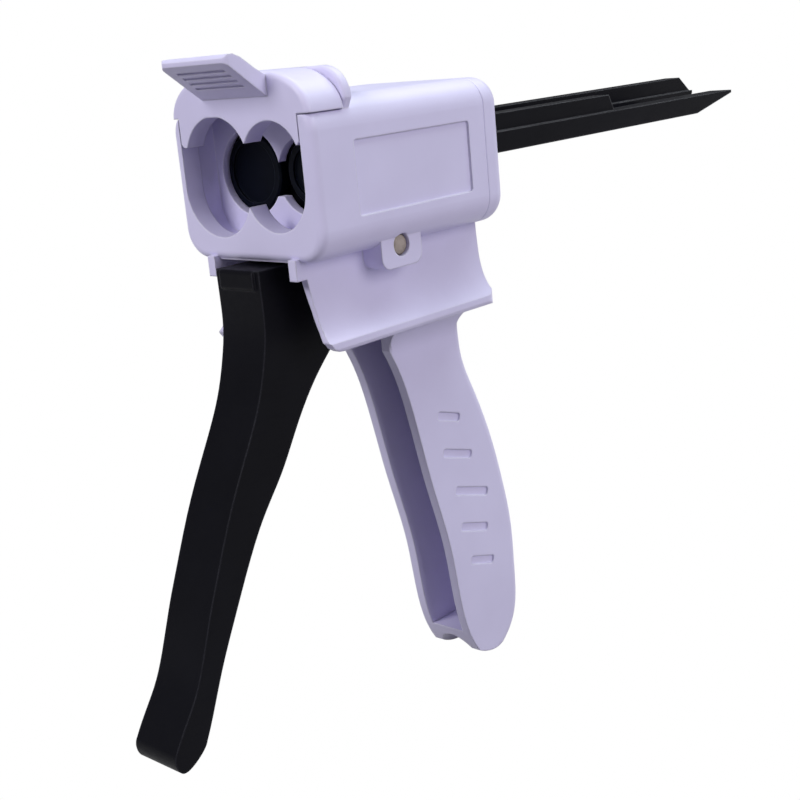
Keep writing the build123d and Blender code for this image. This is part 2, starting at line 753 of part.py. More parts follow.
# Lock lever: roof, gate and thumb tab
with BuildPart() as lock_lever:
    with BuildSketch(Plane.XZ):
        with Locations((-shell_shoulder, arch_base), (shell_shoulder, arch_base)):
            Ellipse(shell_half_width - shell_shoulder, shell_rise)
        with Locations((0, arch_base)):
            Rectangle(2 * shell_shoulder, 2 * shell_rise)
        with Locations((0, shell_base - far_cut / 2)):
            Rectangle(4 * shell_half_width, far_cut, mode=Mode.SUBTRACT)
    extrude(amount=-shell_rear)
    fillet(
        lock_lever.edges().filter_by_position(Axis.Y, -touch, touch).sort_by(Axis.Z)[1:], shell_front_edge
    )
    # Gate that closes the barrel notches
    with BuildSketch(Plane.XZ):
        with BuildLine():
            Polyline(
                (gate_left, shell_base + 1), (gate_left, gate_leg_tip + gate_leg_round),
                (gate_left + gate_leg_round, gate_leg_tip), (gate_right - gate_leg_round, gate_leg_tip),
                (gate_right, gate_leg_tip + gate_leg_round), (gate_right, shell_base + 1), close=True,
            )
        make_face()
        with Locations((gate_large_x, gate_centre_height)):
            Circle(gate_large_radius, mode=Mode.SUBTRACT)
        with Locations((gate_small_x, gate_centre_height)):
            Circle(gate_small_radius, mode=Mode.SUBTRACT)
        with Locations((cusp_centre, gate_leg_tip - 1)):
            Rectangle(
                2 * gate_cusp_half_width, 2 * (gate_cusp_tip - gate_leg_tip + 1), mode=Mode.SUBTRACT
            )
    extrude(amount=-front_plate_depth)
    # Room for the flange under the roof
    with BuildSketch(Plane.XZ.offset(-front_plate_depth)):
        with Locations((0, arch_base)):
            Ellipse(shell_half_width - shell_wall, shell_rise - shell_wall)
    extrude(amount=front_plate_depth - roof_room_rear, mode=Mode.SUBTRACT)
    # Thumb tab with grooves
    add(tab.part)
    for index in range(tab_groove_count):
        fraction = tab_groove_first + index * tab_groove_step
        groove_mid_y = tab_profile[2][0] + fraction * (tab_profile[1][0] - tab_profile[2][0])
        groove_mid_z = tab_profile[2][1] + fraction * (tab_profile[1][1] - tab_profile[2][1])
        slope = math.degrees(
            math.atan2(tab_profile[1][1] - tab_profile[2][1], tab_profile[1][0] - tab_profile[2][0])
        )
        with BuildSketch(Plane.YZ):
            with Locations(Location((groove_mid_y, groove_mid_z), slope)):
                Rectangle(tab_groove_width, 2 * tab_groove_depth)
        extrude(amount=tab_groove_half_length, both=True, mode=Mode.SUBTRACT)
    # Clearance round the collar's hinge
    with BuildSketch(Plane.YZ):
        with Locations((hinge_y, hinge_z)):
            Circle(nose_radius + running_gap)
    extrude(amount=far_cut, both=True, mode=Mode.SUBTRACT)
    # Hinge arms
    for side in (-1, 1):
        with BuildSketch(Plane.YZ.offset(side * (arm_inner + arm_outer) / 2)):
            with Locations((hinge_y, hinge_z)):
                Circle(arm_hub_radius)
            with BuildLine():
                Polyline(
                    (hinge_y, hinge_z - arm_hub_radius), (hinge_y - arm_hub_radius, hinge_z - arm_drop),
                    (hinge_y - arm_reach, hinge_z - arm_drop),
                    (hinge_y - arm_reach, hinge_z + arm_hub_radius),
                    (hinge_y, hinge_z + arm_hub_radius), close=True,
                )
            make_face()
            with Locations((hinge_y, hinge_z)):
                Circle(lever_pin_radius + pin_gap, mode=Mode.SUBTRACT)
        extrude(amount=(arm_outer - arm_inner) / 2, both=True)
lock_lever.part.label = "lock_lever"
export_step(lock_lever.part, "parts/lock_lever.step")

# Lock lever pin
with BuildPart() as lock_lever_pin:
    with BuildSketch(Plane.YZ):
        with Locations((hinge_y, hinge_z)):
            Circle(lever_pin_radius)
    extrude(amount=lever_pin_half_length, both=True)
lock_lever_pin.part.label = "lock_lever_pin"
export_step(lock_lever_pin.part, "parts/lock_lever_pin.step")

# Trigger with its front pad and twin arms
with BuildPart() as trigger:
    with BuildSketch(Plane.YZ):
        with BuildLine():
            Spline(*trigger_front)
            Spline(*trigger_toe)
            Spline(*trigger_rear)
            Line(trigger_rear[-1], (pivot_y, trigger_front[0][1]))
            Line((pivot_y, trigger_front[0][1]), trigger_front[0])
        make_face()
    extrude(amount=trigger_half_width, both=True)
    with BuildSketch(Plane.YZ):
        with Locations((pivot_y, pivot_z)):
            Circle(trigger_hub_radius)
        with BuildLine():
            Polyline(
                (pivot_y + arm_root_y, pivot_z - arm_root_z), (pawl_y + arm_end_y, pawl_z - arm_end_z),
                (pawl_y - arm_end_y, pawl_z + arm_end_z), (pivot_y - arm_root_y, pivot_z + arm_root_z),
                close=True,
            )
        make_face()
        with Locations((pawl_y, pawl_z)):
            Circle(arm_end_radius)
    extrude(amount=trigger_half_width, both=True)
    with BuildSketch(Plane.YZ) as pad_outline:
        with Locations(((pad_front + pad_rear) / 2, (pad_low + pad_high) / 2)):
            Rectangle(pad_rear - pad_front, pad_high - pad_low)
        fillet(pad_outline.vertices().group_by(Axis.X)[0], pad_edge)
    extrude(amount=pad_half_width, both=True)
    # Pocket open to the rear
    with BuildSketch(Plane.YZ):
        with BuildLine():
            Polyline(*pocket, close=True)
        make_face()
    extrude(amount=trigger_cheek, both=True, mode=Mode.SUBTRACT)
    # Pin holes
    with BuildSketch(Plane.YZ):
        with Locations((pivot_y, pivot_z)):
            Circle(trigger_pin_radius + pin_gap)
        with Locations((pawl_y, pawl_z)):
            Circle(pawl_pin_radius + pin_gap)
    extrude(amount=trigger_half_width + 1, both=True, mode=Mode.SUBTRACT)
trigger.part.label = "trigger"
export_step(trigger.part, "parts/trigger.step")

# Trigger pin
with BuildPart() as trigger_pin:
    with BuildSketch(Plane.YZ):
        with Locations((pivot_y, pivot_z)):
            Circle(trigger_pin_radius)
    extrude(amount=trigger_pin_half_length, both=True)
    for side in (-1, 1):
        with BuildSketch(Plane.YZ.offset(side * (trigger_pin_half_length - trigger_pin_head_length))):
            with Locations((pivot_y, pivot_z)):
                Circle(trigger_pin_head_radius)
        extrude(amount=side * trigger_pin_head_length)
        chamfer(
            trigger_pin.faces().sort_by(Axis.X)[0 if side < 0 else -1].edges(), trigger_pin_head_edge
        )
trigger_pin.part.label = "trigger_pin"
export_step(trigger_pin.part, "parts/trigger_pin.step")

# Trigger return spring
spring_points = []
trigger_coil_half = trigger_spring_turns * trigger_spring_pitch / 2
trigger_coil_steps = int(trigger_spring_turns * coil_steps)
for index in range(trigger_coil_steps + 1):
    turn = index / coil_steps
    angle = 2 * math.pi * turn
    spring_points.append((
        -trigger_coil_half + turn * trigger_spring_pitch,
        pivot_y + trigger_spring_radius * math.sin(angle),
        pivot_z - trigger_spring_radius * math.cos(angle),
    ))
with BuildPart() as trigger_spring:
    with BuildLine() as trigger_spring_path:
        Spline(
            (-trigger_coil_half, pivot_y - trigger_spring_leg, pivot_z - trigger_spring_radius),
            (-trigger_coil_half, pivot_y - trigger_spring_leg * 2 / 3, pivot_z - trigger_spring_radius),
            (-trigger_coil_half, pivot_y - trigger_spring_leg / 3, pivot_z - trigger_spring_radius),
            *spring_points,
        )
    with BuildSketch(Plane(origin=trigger_spring_path.line @ 0, z_dir=trigger_spring_path.line % 0)):
        Circle(trigger_spring_wire)
    sweep(path=trigger_spring_path.wires()[0])
trigger_spring.part.label = "trigger_spring"
export_step(trigger_spring.part, "parts/trigger_spring.step")

# Drive pawl with one bar under both racks
with BuildPart() as drive_pawl:
    with BuildSketch(Plane.YZ):
        with BuildLine():
            Polyline(*pawl_bar, close=True)
        make_face()
    extrude(amount=pawl_bar_half_length, both=True)
    for rod_x in (large_axis_x, small_axis_x):
        with BuildSketch(Plane.YZ.offset(rod_x)):
            with BuildLine():
                Polyline(*pawl_tooth, close=True)
            make_face()
        extrude(amount=pawl_tooth_half_width, both=True)
    with BuildSketch(Plane.YZ.offset(pawl_hub_left)):
        with Locations((pawl_y, pawl_z)):
            Circle(pawl_hub_radius)
        with BuildLine():
            Polyline(*pawl_arm, close=True)
        make_face()
    extrude(amount=pawl_hub_right - pawl_hub_left)
    with BuildSketch(Plane.YZ):
        with Locations((pawl_y, pawl_z)):
            Circle(pawl_pin_radius + pin_gap)
    extrude(amount=trigger_half_width, both=True, mode=Mode.SUBTRACT)
drive_pawl.part.label = "drive_pawl"
export_step(drive_pawl.part, "parts/drive_pawl.step")

# Drive pawl pin
with BuildPart() as drive_pawl_pin:
    with BuildSketch(Plane.YZ):
        with Locations((pawl_y, pawl_z)):
            Circle(pawl_pin_radius)
    extrude(amount=pawl_pin_half_length, both=True)
drive_pawl_pin.part.label = "drive_pawl_pin"
export_step(drive_pawl_pin.part, "parts/drive_pawl_pin.step")

# Drive pawl spring
pawl_spring_points = []
pawl_coil_start = pawl_hub_right + pawl_spring_gap
pawl_coil_steps = int(pawl_spring_turns * coil_steps)
for index in range(pawl_coil_steps + 1):
    turn = index / coil_steps
    angle = 2 * math.pi * turn
    pawl_spring_points.append((
        pawl_coil_start + turn * pawl_spring_pitch,
        pawl_y + pawl_spring_radius * math.sin(angle),
        pawl_z - pawl_spring_radius * math.cos(angle),
    ))
with BuildPart() as drive_pawl_spring:
    with BuildLine() as pawl_spring_path:
        Spline(
            (pawl_coil_start, pawl_y - pawl_spring_leg, pawl_z - pawl_spring_radius),
            (pawl_coil_start, pawl_y - pawl_spring_leg / 2, pawl_z - pawl_spring_radius),
            *pawl_spring_points,
        )
    with BuildSketch(Plane(origin=pawl_spring_path.line @ 0, z_dir=pawl_spring_path.line % 0)):
        Circle(pawl_spring_wire)
    sweep(path=pawl_spring_path.wires()[0])
drive_pawl_spring.part.label = "drive_pawl_spring"
export_step(drive_pawl_spring.part, "parts/drive_pawl_spring.step")

# Left rack, whose upper rib stops short
with BuildPart() as left_rack:
    with BuildSketch(Plane.YZ.offset(small_axis_x)):
        with BuildLine():
            Polyline(
                (rod_front, rod_bottom), (left_tip - left_tip_slope, rod_bottom),
                (left_tip, rod_shoulder - tip_blunt), (left_tip, rod_shoulder),
                (rod_front, rod_shoulder), close=True,
            )
        make_face()
    extrude(amount=rod_half_width, both=True)
    with BuildSketch(Plane.YZ.offset(small_axis_x)):
        with BuildLine():
            Polyline(
                (rod_front, rod_shoulder), (left_rib_rear + left_rib_slope, rod_shoulder),
                (left_rib_rear, rod_top), (rod_front, rod_top), close=True,
            )
        make_face()
    extrude(amount=rib_half_width, both=True)
    for index in range(tooth_count):
        tooth_y = tooth_first + index * tooth_pitch
        with BuildSketch(Plane.YZ.offset(small_axis_x)):
            with BuildLine():
                Polyline(
                    (tooth_y, rod_bottom - touch), (tooth_y, rod_bottom + tooth_depth),
                    (tooth_y + tooth_pitch - tooth_land, rod_bottom - touch), close=True,
                )
            make_face()
        extrude(amount=rib_half_width, both=True, mode=Mode.SUBTRACT)
    with BuildSketch(Plane.XZ.offset(-rod_front)):
        with Locations((small_axis_x, piston_axis_height)):
            Circle(spigot_radius)
    extrude(amount=spigot_length)
    with BuildSketch(Plane.YZ.offset(small_axis_x - rod_half_width)):
        with Locations(((bridge_front + bridge_rear) / 2, (bridge_low + bridge_high) / 2)):
            Circle(bridge_pin_radius + touch)
    extrude(amount=bridge_pin_reach + touch, mode=Mode.SUBTRACT)
left_rack.part.label = "left_rack"
export_step(left_rack.part, "parts/left_rack.step")

# Right rack, whose upper rib runs to the end
with BuildPart() as right_rack:
    with BuildSketch(Plane.YZ.offset(large_axis_x)):
        with BuildLine():
            Polyline(
                (rod_front, rod_bottom), (right_tip - right_tip_slope, rod_bottom),
                (right_tip, rod_shoulder - tip_blunt), (right_tip, rod_shoulder),
                (rod_front, rod_shoulder), close=True,
            )
        make_face()
    extrude(amount=rod_half_width, both=True)
    with BuildSketch(Plane.YZ.offset(large_axis_x)):
        with BuildLine():
            Polyline(
                (rod_front, rod_shoulder), (right_tip, rod_shoulder),
                (right_rib_rear, rod_top), (rod_front, rod_top), close=True,
            )
        make_face()
    extrude(amount=rib_half_width, both=True)
    for index in range(tooth_count):
        tooth_y = tooth_first + index * tooth_pitch
        with BuildSketch(Plane.YZ.offset(large_axis_x)):
            with BuildLine():
                Polyline(
                    (tooth_y, rod_bottom - touch), (tooth_y, rod_bottom + tooth_depth),
                    (tooth_y + tooth_pitch - tooth_land, rod_bottom - touch), close=True,
                )
            make_face()
        extrude(amount=rib_half_width, both=True, mode=Mode.SUBTRACT)
    with BuildSketch(Plane.XZ.offset(-rod_front)):
        with Locations((large_axis_x, piston_axis_height)):
            Circle(spigot_radius)
    extrude(amount=spigot_length)
    with BuildSketch(Plane.YZ.offset(large_axis_x + rod_half_width)):
        with Locations(((bridge_front + bridge_rear) / 2, (bridge_low + bridge_high) / 2)):
            Circle(bridge_pin_radius + touch)
    extrude(amount=-bridge_pin_reach - touch, mode=Mode.SUBTRACT)
right_rack.part.label = "right_rack"
export_step(right_rack.part, "parts/right_rack.step")

# Bridge that makes both racks advance together
with BuildPart() as rack_bridge:
    with BuildSketch(Plane.YZ.offset(large_axis_x + rod_half_width)):
        with Locations(((bridge_front + bridge_rear) / 2, (bridge_low + bridge_high) / 2)):
            Rectangle(bridge_rear - bridge_front, bridge_high - bridge_low)
            Circle(bridge_pin_radius + touch, mode=Mode.SUBTRACT)
    extrude(amount=small_axis_x - large_axis_x - 2 * rod_half_width)
rack_bridge.part.label = "rack_bridge"
export_step(rack_bridge.part, "parts/rack_bridge.step")

# Dowels in the bridge
with BuildPart() as rack_bridge_pins:
    with BuildSketch(Plane.YZ.offset(small_axis_x - rod_half_width - bridge_pin_reach)):
        with Locations(((bridge_front + bridge_rear) / 2, (bridge_low + bridge_high) / 2)):
            Circle(bridge_pin_radius)
    extrude(amount=2 * bridge_pin_reach)
    with BuildSketch(Plane.YZ.offset(large_axis_x + rod_half_width + bridge_pin_reach)):
        with Locations(((bridge_front + bridge_rear) / 2, (bridge_low + bridge_high) / 2)):
            Circle(bridge_pin_radius)
    extrude(amount=-2 * bridge_pin_reach)
rack_bridge_pins.part.label = "rack_bridge_pins"
export_step(rack_bridge_pins.part, "parts/rack_bridge_pins.step")

# Left piston
with BuildPart() as left_piston:
    with BuildSketch(Plane.XZ.offset(-piston_front)):
        with Locations((small_axis_x, piston_axis_height)):
            Circle(small_piston_radius)
    extrude(amount=piston_front - piston_rear)
    chamfer(left_piston.edges().filter_by(GeomType.CIRCLE), piston_edge)
    with BuildSketch(Plane.XZ.offset(-piston_front)):
        with Locations((small_axis_x, piston_axis_height)):
            Circle(small_piston_radius - piston_dish_margin)
    extrude(amount=-piston_dish_depth, mode=Mode.SUBTRACT)
    with BuildSketch(Plane.XZ.offset(-piston_rear)):
        with Locations((small_axis_x, piston_axis_height)):
            Circle(spigot_radius + touch)
    extrude(amount=spigot_length + touch, mode=Mode.SUBTRACT)
left_piston.part.label = "left_piston"
export_step(left_piston.part, "parts/left_piston.step")

# Right piston
with BuildPart() as right_piston:
    with BuildSketch(Plane.XZ.offset(-piston_front)):
        with Locations((large_axis_x, piston_axis_height)):
            Circle(large_piston_radius)
    extrude(amount=piston_front - piston_rear)
    chamfer(right_piston.edges().filter_by(GeomType.CIRCLE), piston_edge)
    with BuildSketch(Plane.XZ.offset(-piston_front)):
        with Locations((large_axis_x, piston_axis_height)):
            Circle(large_piston_radius - piston_dish_margin)
    extrude(amount=-piston_dish_depth, mode=Mode.SUBTRACT)
    with BuildSketch(Plane.XZ.offset(-piston_rear)):
        with Locations((large_axis_x, piston_axis_height)):
            Circle(spigot_radius + touch)
    extrude(amount=spigot_length + touch, mode=Mode.SUBTRACT)
right_piston.part.label = "right_piston"
export_step(right_piston.part, "parts/right_piston.step")

# Guide plate for the racks
with BuildPart() as guide_plate:
    with BuildSketch(Plane.XZ.offset(-guide_front)):
        with Locations((0, (guide_low + guide_high) / 2)):
            RectangleRounded(2 * guide_half_width, guide_high - guide_low, guide_corner)
        with Locations((large_axis_x, rod_middle), (small_axis_x, rod_middle)):
            Rectangle(rod_hole_width, rod_hole_height, mode=Mode.SUBTRACT)
        with Locations((-post_x, post_high), (post_x, post_high)):
            Circle(screw_shank_radius + pin_gap, mode=Mode.SUBTRACT)
    extrude(amount=guide_front - guide_rear)
guide_plate.part.label = "guide_plate"
export_step(guide_plate.part, "parts/guide_plate.step")

# Guide plate screws
with BuildPart() as guide_plate_screws:
    with BuildSketch(Plane.XZ.offset(-guide_front)):
        with Locations((-post_x, post_high), (post_x, post_high)):
            Circle(guide_screw_head_radius)
    extrude(amount=guide_screw_head_height)
    with BuildSketch(Plane.XZ.offset(-guide_front)):
        with Locations((-post_x, post_high), (post_x, post_high)):
            Circle(screw_shank_radius)
    extrude(amount=-guide_screw_length)
guide_plate_screws.part.label = "guide_plate_screws"
export_step(guide_plate_screws.part, "parts/guide_plate_screws.step")

# Release lever with holding bar and thumb pad
with BuildPart() as release_lever:
    with BuildSketch(release_plane):
        Circle(release_hub_radius)
        with BuildLine():
            Polyline(*release_front_arm, close=True)
        make_face()
        with BuildLine():
            Polyline(*release_rear_arm, close=True)
        make_face()
    extrude(amount=release_half_width, both=True)
    with BuildSketch(release_plane):
        with BuildLine():
            Polyline(*release_bar, close=True)
        make_face()
    extrude(amount=release_bar_half_length, both=True)
    for rod_x in (large_axis_x, small_axis_x):
        with BuildSketch(release_plane.offset(rod_x)):
            with BuildLine():
                Polyline(*release_tooth, close=True)
            make_face()
        extrude(amount=pawl_tooth_half_width, both=True)
    with BuildSketch(release_plane):
        with BuildLine():
            Polyline(*release_pad, close=True)
        make_face()
    extrude(amount=release_pad_half_width, both=True)
    with BuildSketch(release_plane):
        Circle(release_pin_radius + pin_gap)
    extrude(amount=release_half_width, both=True, mode=Mode.SUBTRACT)
release_lever.part.label = "release_lever"
export_step(release_lever.part, "parts/release_lever.step")

# Release lever pin
with BuildPart() as release_pin:
    with BuildSketch(Plane.YZ):
        with Locations((release_y, release_z)):
            Circle(release_pin_radius)
    extrude(amount=release_pin_half_length, both=True)
release_pin.part.label = "release_pin"
export_step(release_pin.part, "parts/release_pin.step")

# Release lever spring
release_coil_points = []
release_coil_steps = int(release_spring_turns * coil_steps)
release_coil_rise = (release_spring_high - release_spring_low) / release_coil_steps
for index in range(release_coil_steps + 1):
    angle = 2 * math.pi * index / coil_steps
    release_coil_points.append((
        release_spring_radius * math.cos(angle),
        release_spring_y + release_spring_radius * math.sin(angle),
        release_spring_low + index * release_coil_rise,
    ))
with BuildPart() as release_spring:
    with BuildLine() as release_spring_path:
        Spline(*release_coil_points)
    with BuildSketch(Plane(origin=release_spring_path.line @ 0, z_dir=release_spring_path.line % 0)):
        Circle(release_spring_wire)
    sweep(path=release_spring_path.wires()[0])
release_spring.part.label = "release_spring"
export_step(release_spring.part, "parts/release_spring.step")
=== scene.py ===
import bmesh
import bpy
from mathutils import Matrix, Vector

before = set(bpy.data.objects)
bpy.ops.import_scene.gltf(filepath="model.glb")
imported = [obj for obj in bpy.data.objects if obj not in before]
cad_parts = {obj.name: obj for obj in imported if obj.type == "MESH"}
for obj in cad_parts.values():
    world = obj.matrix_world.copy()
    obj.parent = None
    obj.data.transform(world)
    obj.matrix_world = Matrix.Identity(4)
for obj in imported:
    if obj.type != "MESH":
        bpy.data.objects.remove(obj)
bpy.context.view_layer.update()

# The white moulding: housing, collar, neck and grip in one piece of ABS with a satin skin.
# It carries every other piece. The material rounds its edges by a small radius and paints them
# a little brighter, partly as rubbed wear and partly as a painted highlight.
moulding_white = (0.72, 0.68, 0.92, 1.0)
moulding_shade = (0.67, 0.63, 0.86, 1.0)
moulding_rub_and_highlight = (0.88, 0.86, 0.96, 1.0)
moulding_edge = 0.0006
drift_scale = 38.0
drift_band = (0.30, 0.70)
marks_scale = 520.0
marks_stretch = (1.0, 0.25, 1.4)
marks_turn = (0.35, 0.2, 0.5)
marks_band = (0.45, 0.75)
skin_scale = 2600.0
skin_depth = 0.00008
edge_rays = 6
flat_agreement = 0.995
edge_agreement = 0.86


def satin_plastic(name, colour, shade, rub_and_highlight, edge, gloss, roughness, grain, scuff):
    """Moulded plastic: tone drift, fine skin, handling marks, edges lightened as wear and painted
    highlight.
    """
    material = bpy.data.materials.new(name)
    material.use_nodes = True
    nodes = material.node_tree.nodes
    links = material.node_tree.links
    shader = nodes["Principled BSDF"]
    place = nodes.new("ShaderNodeTexCoord")
    drift = nodes.new("ShaderNodeTexNoise")
    drift.inputs["Scale"].default_value = drift_scale
    drift.inputs["Detail"].default_value = 3.0
    links.new(place.outputs["Object"], drift.inputs["Vector"])
    tone = nodes.new("ShaderNodeValToRGB")
    tone.color_ramp.elements[0].position = drift_band[0]
    tone.color_ramp.elements[0].color = shade
    tone.color_ramp.elements[1].position = drift_band[1]
    tone.color_ramp.elements[1].color = colour
    links.new(drift.outputs["Fac"], tone.inputs["Fac"])
    stretch = nodes.new("ShaderNodeMapping")
    stretch.inputs["Scale"].default_value = marks_stretch
    stretch.inputs["Rotation"].default_value = marks_turn
    links.new(place.outputs["Object"], stretch.inputs["Vector"])
    marks = nodes.new("ShaderNodeTexNoise")
    marks.inputs["Scale"].default_value = marks_scale
    marks.inputs["Detail"].default_value = 6.0
    marks.inputs["Roughness"].default_value = 0.7
    links.new(stretch.outputs["Vector"], marks.inputs["Vector"])
    rub = nodes.new("ShaderNodeMapRange")
    rub.inputs["From Min"].default_value = marks_band[0]
    rub.inputs["From Max"].default_value = marks_band[1]
    rub.inputs["To Min"].default_value = roughness
    rub.inputs["To Max"].default_value = roughness + scuff
    links.new(marks.outputs["Fac"], rub.inputs["Value"])
    links.new(rub.outputs["Result"], shader.inputs["Roughness"])
    shape = nodes.new("ShaderNodeNewGeometry")
    rounding = nodes.new("ShaderNodeBevel")
    rounding.samples = edge_rays
    rounding.inputs["Radius"].default_value = edge
    turn = nodes.new("ShaderNodeVectorMath")
    turn.operation = "DOT_PRODUCT"
    links.new(shape.outputs["Normal"], turn.inputs[0])
    links.new(rounding.outputs["Normal"], turn.inputs[1])
    # Edges, convex and concave, turn towards the rubbed colour: partly wear, partly a painted
    # highlight.
    near_edge = nodes.new("ShaderNodeMapRange")
    near_edge.inputs["From Min"].default_value = flat_agreement
    near_edge.inputs["From Max"].default_value = edge_agreement
    links.new(turn.outputs["Value"], near_edge.inputs["Value"])
    rub_and_highlight_mask = nodes.new("ShaderNodeMath")
    rub_and_highlight_mask.operation = "MULTIPLY"
    links.new(near_edge.outputs["Result"], rub_and_highlight_mask.inputs[0])
    links.new(marks.outputs["Fac"], rub_and_highlight_mask.inputs[1])
    rub_and_highlight_mix = nodes.new("ShaderNodeMixRGB")
    rub_and_highlight_mix.inputs["Color2"].default_value = rub_and_highlight
    links.new(rub_and_highlight_mask.outputs["Value"], rub_and_highlight_mix.inputs["Fac"])
    links.new(tone.outputs["Color"], rub_and_highlight_mix.inputs["Color1"])
    links.new(rub_and_highlight_mix.outputs["Color"], shader.inputs["Base Color"])
    skin = nodes.new("ShaderNodeTexNoise")
    skin.inputs["Scale"].default_value = skin_scale
    skin.inputs["Detail"].default_value = 2.0
    links.new(place.outputs["Object"], skin.inputs["Vector"])
    relief = nodes.new("ShaderNodeBump")
    relief.inputs["Strength"].default_value = grain
    relief.inputs["Distance"].default_value = skin_depth
    links.new(skin.outputs["Fac"], relief.inputs["Height"])
    links.new(rounding.outputs["Normal"], relief.inputs["Normal"])
    links.new(relief.outputs["Normal"], shader.inputs["Normal"])
    shader.inputs["Specular IOR Level"].default_value = gloss
    return material


def finished(node_name, material):
    """A CAD node whose shape stays, with its material set on the object's own slots."""
    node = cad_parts[node_name]
    if not node.material_slots:
        node.data.materials.append(material)
    for slot in node.material_slots:
        slot.link = "OBJECT"
        slot.material = material


white_plastic = satin_plastic(
    "satin white plastic", moulding_white, moulding_shade, moulding_rub_and_highlight, moulding_edge,
    gloss=0.4, roughness=0.40, grain=0.12, scuff=0.10,
)
finished("body", white_plastic)

# The rear cap, of the same white ABS, held by four cross-slotted screws.
# Its lip sits inside the housing, so only a fine seam shows.
finished("rear_cap", white_plastic)

# The lock lever: roof, gate and ribbed thumb tab, moulded in one from the same white ABS.
# It turns on a pin in the collar.
finished("lock_lever", white_plastic)

# The black mouldings: trigger and release lever, in glass-filled nylon.
# The skin is slightly coarser than the housing's; the edges are grey from finger polish and
# painted sheen.
black_deep = (0.0025, 0.0025, 0.0045, 1.0)
black_tone = (0.0045, 0.0045, 0.0075, 1.0)
black_rub_and_highlight = (0.07, 0.07, 0.085, 1.0)
black_edge = 0.0007
black_plastic = satin_plastic(
    "satin black plastic", black_tone, black_deep, black_rub_and_highlight, black_edge,
    gloss=0.06, roughness=0.45, grain=0.25, scuff=0.12,
)
for node_name in ("trigger", "release_lever"):
    finished(node_name, black_plastic)

# The racks, their bridge and the pistons, in a smoother black acetal.
# The racks' edges are painted much lighter, partly as rubbing by the guide plate and partly as a
# painted highlight.
rack_tone = (0.006, 0.006, 0.009, 1.0)
rack_deep = (0.004, 0.004, 0.006, 1.0)
rack_rub_and_highlight = (0.22, 0.22, 0.24, 1.0)
rack_edge = 0.0006
rack_plastic = satin_plastic(
    "smooth black plastic", rack_tone, rack_deep, rack_rub_and_highlight, rack_edge,
    gloss=0.05, roughness=0.40, grain=0.10, scuff=0.10,
)
for node_name in ("left_rack", "right_rack", "rack_bridge"):
    finished(node_name, rack_plastic)
# The pistons' edges are painted a little lighter, partly as wear and partly as a painted
# highlight.
piston_tone = (0.003, 0.004, 0.009, 1.0)
piston_deep = (0.002, 0.003, 0.006, 1.0)
piston_rub_and_highlight = (0.03, 0.035, 0.05, 1.0)
piston_edge = 0.0003
piston_plastic = satin_plastic(
    "dark piston plastic", piston_tone, piston_deep, piston_rub_and_highlight, piston_edge,
    gloss=0.05, roughness=0.40, grain=0.08, scuff=0.10,
)
for node_name in ("left_piston", "right_piston"):
    finished(node_name, piston_plastic)

# The pieces inside the housing, in plain black nylon.
for node_name in ("drive_pawl", "guide_plate"):
    finished(node_name, black_plastic)

# The steel pins, screws and springs, which are bought in.
# Turned steel shows fine rings of machining and a dull oxide in patches.
patch_scale = 420.0
patch_band = (0.35, 0.65)
patch_roughness = 0.2
turning_scale = 1400.0
turning_waver = 1.5
turning_depth = 0.00003


def turned_steel(name, colour, dull, roughness):
    """Metal with fine turning lines, a drifting tone and dull patches."""
    material = bpy.data.materials.new(name)
    material.use_nodes = True
    nodes = material.node_tree.nodes
    links = material.node_tree.links
    shader = nodes["Principled BSDF"]
    shader.inputs["Metallic"].default_value = 1.0
    place = nodes.new("ShaderNodeTexCoord")
    patches = nodes.new("ShaderNodeTexNoise")
    patches.inputs["Scale"].default_value = patch_scale
    patches.inputs["Detail"].default_value = 4.0
    links.new(place.outputs["Object"], patches.inputs["Vector"])
    tone = nodes.new("ShaderNodeValToRGB")
    tone.color_ramp.elements[0].position = patch_band[0]
    tone.color_ramp.elements[0].color = dull
    tone.color_ramp.elements[1].position = patch_band[1]
    tone.color_ramp.elements[1].color = colour
    links.new(patches.outputs["Fac"], tone.inputs["Fac"])
    links.new(tone.outputs["Color"], shader.inputs["Base Color"])
    rub = nodes.new("ShaderNodeMapRange")
    rub.inputs["To Min"].default_value = roughness
    rub.inputs["To Max"].default_value = roughness + patch_roughness
    links.new(patches.outputs["Fac"], rub.inputs["Value"])
    links.new(rub.outputs["Result"], shader.inputs["Roughness"])
    lines = nodes.new("ShaderNodeTexWave")
    lines.inputs["Scale"].default_value = turning_scale
    lines.inputs["Distortion"].default_value = turning_waver
    links.new(place.outputs["Object"], lines.inputs["Vector"])
    relief = nodes.new("ShaderNodeBump")
    relief.inputs["Strength"].default_value = 0.15
    relief.inputs["Distance"].default_value = turning_depth
    links.new(lines.outputs["Fac"], relief.inputs["Height"])
    links.new(relief.outputs["Normal"], shader.inputs["Normal"])
    return material


steel_tone = (0.56, 0.56, 0.58, 1.0)
steel_dull = (0.36, 0.35, 0.35, 1.0)
bright_steel = turned_steel("bright steel", steel_tone, steel_dull, roughness=0.28)
for node_name in (
    "rear_cap_screws", "lock_lever_pin", "trigger_spring", "drive_pawl_pin",
    "drive_pawl_spring", "rack_bridge_pins", "guide_plate_screws", "release_pin", "release_spring",
):
    finished(node_name, bright_steel)
pin_tone = (0.36, 0.31, 0.29, 1.0)
pin_dull = (0.20, 0.17, 0.16, 1.0)
pin_steel = turned_steel("dull pin steel", pin_tone, pin_dull, roughness=0.42)
finished("trigger_pin", pin_steel)

